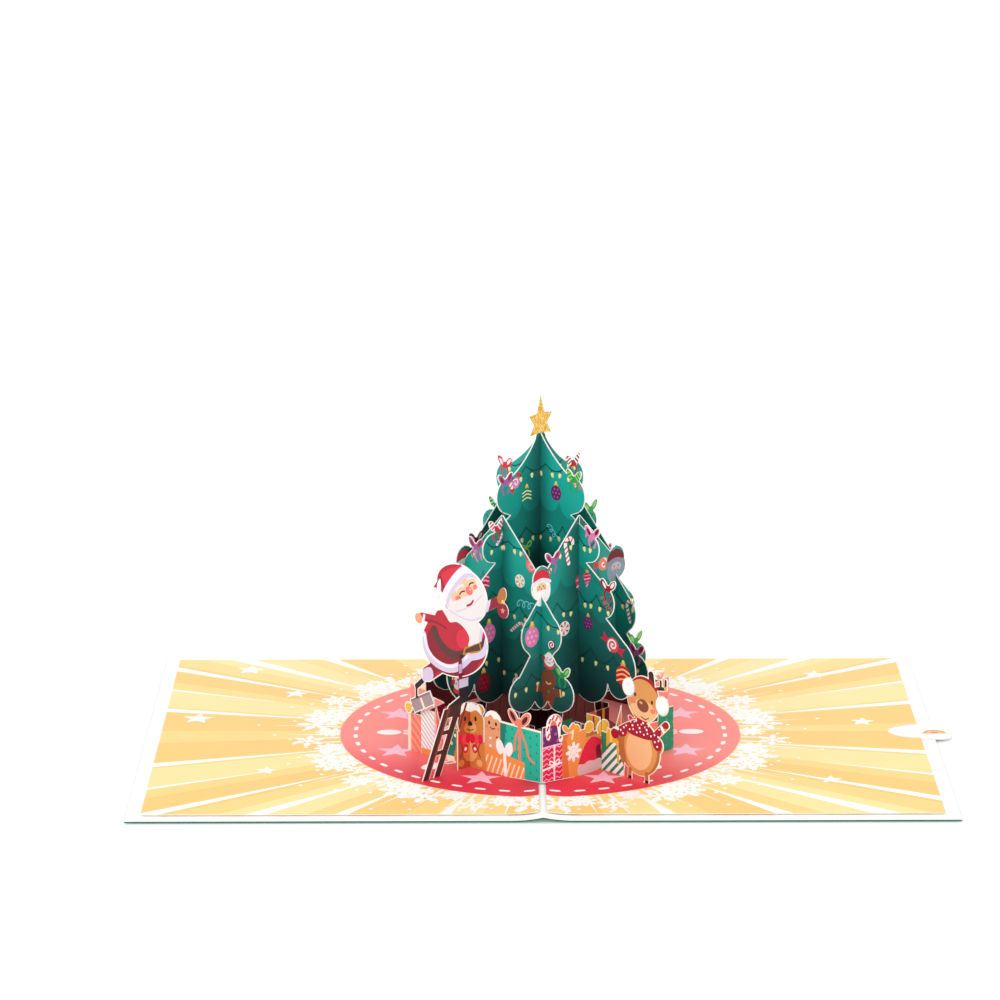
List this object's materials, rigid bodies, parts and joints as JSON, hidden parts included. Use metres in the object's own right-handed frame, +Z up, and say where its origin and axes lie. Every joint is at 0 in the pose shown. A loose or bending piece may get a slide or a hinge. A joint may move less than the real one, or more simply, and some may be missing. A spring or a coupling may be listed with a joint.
{
  "type": "pop up card",
  "caption": "Open pop up card: a slotted paper tree with a star, a fence of presents, a figure on a ladder and a reindeer, with a note card that slides out.",
  "frame": {"origin": "under the middle of the fold, on the surface the open card lies on", "axes": "+X across the leaves to the reader's right, +Y away from the reader along the fold, +Z up"},
  "size_m": [0.3113, 0.2032, 0.1354],
  "materials": {
    "cover_green": "matt, finely ribbed",
    "liner_print": "satin printed paper",
    "tape_clear": "matt",
    "note_white": "matt",
    "tree_teal": "satin printed card",
    "presents_print": "satin printed card",
    "ladder_print": "satin printed card",
    "figure_print": "satin printed card",
    "reindeer_print": "satin printed card"
  },
  "bodies": {
    "card": {"cover": "cover_green", "liner_left": "liner_print", "liner_right": "liner_print", "tape_left": "tape_clear", "tape_right": "tape_clear", "tree_panel_a_middle": "tree_teal", "tree_panel_a_front": "tree_teal", "tree_panel_a_back": "tree_teal", "tree_panel_b_middle": "tree_teal", "tree_panel_b_front": "tree_teal", "tree_panel_b_back": "tree_teal", "gift_fence_front_left": "presents_print", "gift_fence_front_right": "presents_print", "gift_fence_back_left": "presents_print", "gift_fence_back_right": "presents_print", "ladder_plate": "ladder_print", "figure_plate": "figure_print", "reindeer_plate": "reindeer_print"},
    "note_card": {"note_card": "note_white"}
  },
  "joints": [
    {"name": "note_slide", "type": "slide", "parent": "card", "child": "note_card", "axis": [1, 0, 0], "range_m": [0, 0.084]}
  ]
}
